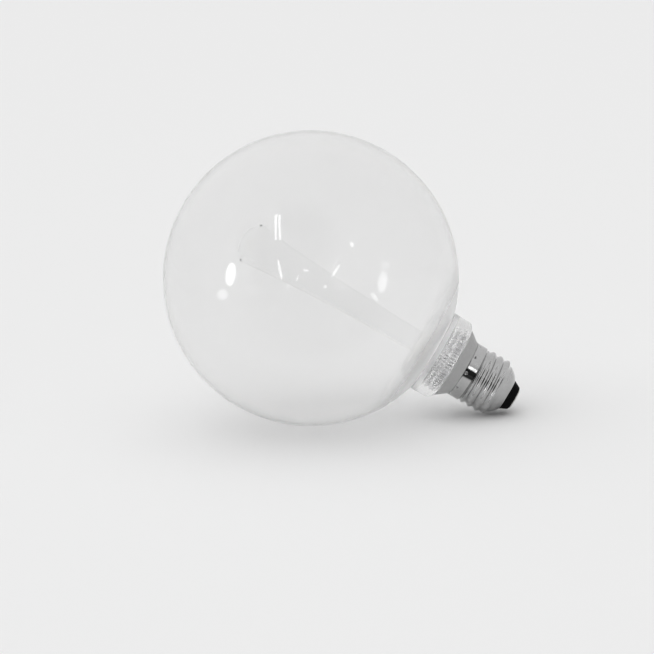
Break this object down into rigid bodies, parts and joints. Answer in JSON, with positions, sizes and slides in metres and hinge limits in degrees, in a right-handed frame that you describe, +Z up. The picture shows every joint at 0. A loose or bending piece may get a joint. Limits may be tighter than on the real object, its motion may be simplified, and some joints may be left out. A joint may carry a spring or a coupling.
{
  "type": "led light bulb",
  "caption": "Clear glass globe LED bulb with a faceted clear base, an inner light guide and a nickel screw cap, lying on its side.",
  "frame": {"origin": "on the floor, under the middle of the lying bulb's box", "axes": "+Z up from the floor; +X along the floor from the globe towards the cap"},
  "size_m": [0.1516, 0.128, 0.128],
  "materials": {
    "clear_glass": "clear blown glass, polished",
    "clear_acrylic": "clear moulded acrylic, polished",
    "clear_adhesive": "clear cured adhesive",
    "grey_plastic": "satin grey moulding",
    "nickel": "bright nickel plate on brass",
    "black_insulator": "black pressed insulator",
    "tinned_contact": "tinned contact",
    "aluminium": "plain pressed aluminium",
    "white_board": "white solder mask on aluminium",
    "led_phosphor": "yellow phosphor gel in a white frame",
    "thermal_pad": "soft silicone pad",
    "green_board": "green solder mask",
    "can_sleeve": "shrink sleeve on an aluminium can",
    "film_coating": "dipped coating",
    "ferrite": "sintered ferrite",
    "copper": "enamelled copper wire",
    "chip_black": "moulded chip package",
    "resistor_coating": "flameproof coating",
    "wire_sleeve": "insulated wire",
    "bare_lead": "tinned copper lead"
  },
  "bodies": {
    "root": {"glass_globe": "clear_glass", "globe_cement": "clear_adhesive", "crystal_base": "clear_acrylic", "light_guide": "clear_acrylic", "led_board": "white_board", "led_chips": "led_phosphor", "thermal_pad": "thermal_pad", "heat_sink": "aluminium", "base_collar": "grey_plastic", "screw_shell": "nickel", "insulator": "black_insulator", "centre_contact": "tinned_contact", "driver_board": "green_board", "smoothing_capacitor": "can_sleeve", "film_capacitor": "film_coating", "inductor_core": "ferrite", "inductor_winding": "copper", "bridge_rectifier": "chip_black", "fusible_resistor": "resistor_coating", "driver_chip": "chip_black", "chip_resistors": "chip_black", "led_wires": "wire_sleeve", "live_wire": "bare_lead", "neutral_wire": "bare_lead"}
  },
  "joints": []
}
